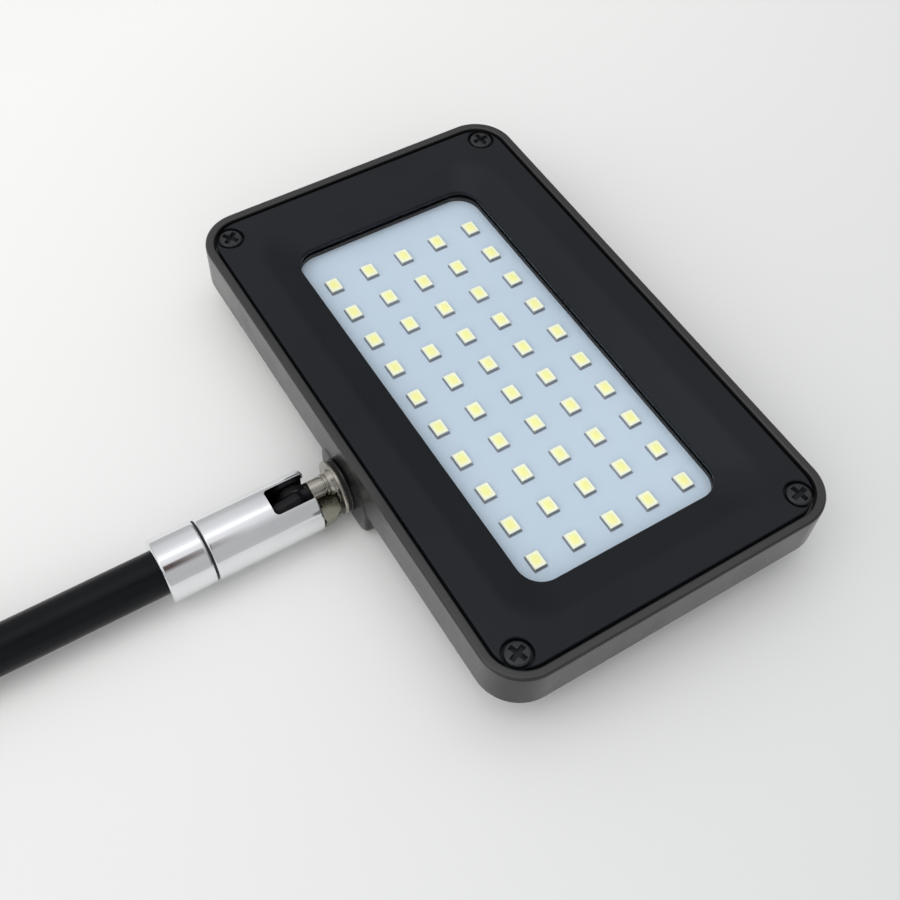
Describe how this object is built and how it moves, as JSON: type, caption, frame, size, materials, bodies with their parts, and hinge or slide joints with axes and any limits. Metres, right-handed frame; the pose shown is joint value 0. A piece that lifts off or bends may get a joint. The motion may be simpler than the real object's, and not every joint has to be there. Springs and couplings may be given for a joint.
{
  "type": "led exhibition arm light",
  "caption": "Clamp-on display light: flat rectangular LED head on a chromed tilt and swivel knuckle, straight black tube arm and screw clamp.",
  "frame": {"origin": "centre of the flat back face of the lamp head", "axes": "+Z out of the lit front of the head, +X from the arm towards the head, along the arm; Y along the head's long side"},
  "size_m": [0.4167, 0.1298, 0.019],
  "materials": {
    "housing_paint": "satin black powder coat on die-cast aluminium",
    "bezel_plastic": "fine matt black moulded plastic",
    "lens_clear": "clear polished",
    "rubber_black": "matt",
    "board_white": "white solder mask, cool tint",
    "pad_grey": "soft silicone pad",
    "spreader_alu": "mill finish",
    "screw_black": "black zinc",
    "steel_plain": "zinc plated",
    "driver_green": "solder-mask green with dark components",
    "wire_red": "flexible insulation",
    "wire_black": "flexible insulation",
    "nickel": "satin nickel plate",
    "brass": "machined",
    "chrome": "polished",
    "tube_black": "satin black powder coat on steel tube",
    "cable_black": "smooth jacket",
    "knob_plastic": "moulded",
    "clamp_paint": "satin black powder coat"
  },
  "bodies": {
    "arm": {"arm_collar": "chrome", "swivel_washer": "rubber_black", "swivel_post": "brass", "swivel_spring_washer": "steel_plain", "swivel_lock_nut": "steel_plain", "arm_tube": "tube_black", "arm_cable": "cable_black", "clamp_frame": "clamp_paint", "fixed_jaw_pad": "rubber_black", "base_ring": "chrome", "base_grub_screw": "steel_plain", "strain_relief": "rubber_black", "power_lead": "cable_black", "lead_socket": "knob_plastic"},
    "knuckle": {"knuckle_sleeve": "chrome", "knuckle_core": "nickel", "pivot_pin": "steel_plain", "pivot_washer": "steel_plain", "knuckle_cable": "cable_black"},
    "head": {"rear_housing": "housing_paint", "front_bezel": "bezel_plastic", "lens_window": "lens_clear", "lens_gasket": "rubber_black", "led_board": "board_white", "thermal_pad": "pad_grey", "heat_spreader": "spreader_alu", "spreader_screw_1": "steel_plain", "spreader_screw_2": "steel_plain", "bezel_screw_1": "screw_black", "bezel_screw_2": "screw_black", "bezel_screw_3": "screw_black", "bezel_screw_4": "screw_black", "driver_board": "driver_green", "led_wire_plus": "wire_red", "led_wire_minus": "wire_black", "stem_fitting": "nickel", "stem_flange": "nickel", "stem_gasket": "rubber_black", "stem_washer": "steel_plain", "stem_lock_nut": "brass", "head_cable": "cable_black"},
    "foot": {"clamp_foot": "steel_plain", "foot_pad": "rubber_black"},
    "screw": {"clamp_screw": "steel_plain", "clamp_knob": "knob_plastic"}
  },
  "joints": [
    {"name": "knuckle_swivel", "type": "hinge", "parent": "arm", "child": "knuckle", "pos_m": [-0.07065, -0.0045, 0.0068], "axis": [1, 0, 0], "range_deg": [-170, 170]},
    {"name": "head_tilt", "type": "hinge", "parent": "knuckle", "child": "head", "pos_m": [-0.0503, -0.0045, 0.0068], "axis": [0, -1, 0], "range_deg": [0, 90]},
    {"name": "foot_travel", "type": "slide", "parent": "arm", "child": "foot", "axis": [1, 0, 0], "range_m": [-0.008, 0.01]},
    {"name": "screw_turn", "type": "hinge", "parent": "foot", "child": "screw", "pos_m": [-0.3509, -0.01, 0.0068], "axis": [1, 0, 0], "range_deg": [-1440, 1800]}
  ],
  "couplings": [
    {"joint": "screw_turn", "follows": "foot_travel", "rad_per_m": 3141.6}
  ]
}
